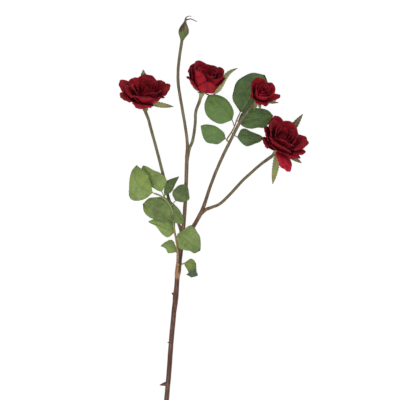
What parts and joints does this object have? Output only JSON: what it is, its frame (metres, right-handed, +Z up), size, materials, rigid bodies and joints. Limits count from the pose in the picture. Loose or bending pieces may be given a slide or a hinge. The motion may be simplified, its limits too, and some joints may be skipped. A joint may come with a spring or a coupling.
{
  "type": "cut spray rose",
  "caption": "Cut spray rose lying down: a bent cane that forks to open layered blooms and a closed bud, with toothed compound leaves and thorns.",
  "frame": {"origin": "centre of the bounding box at its lowest level, which is the table that the rose lies on", "axes": "+Y from the cut end of the cane to the bud, +X to the right as seen from above, +Z up from the table"},
  "size_m": [0.274, 0.5697, 0.0593],
  "materials": {
    "cane": "satin bark",
    "petal": "velvety",
    "calyx": "matte",
    "bud": "matte",
    "leaf_dark": "satin",
    "leaf_light": "satin"
  },
  "bodies": {
    "root": {"stem": "cane", "petals_left": "petal", "petals_top": "petal", "petals_small": "petal", "petals_right": "petal", "calyx_left": "calyx", "calyx_top": "calyx", "calyx_small": "calyx", "calyx_right": "calyx", "bud": "bud", "leaf_upper": "leaf_dark", "leaf_lower": "leaf_light", "leaf_side": "leaf_light"}
  },
  "joints": []
}
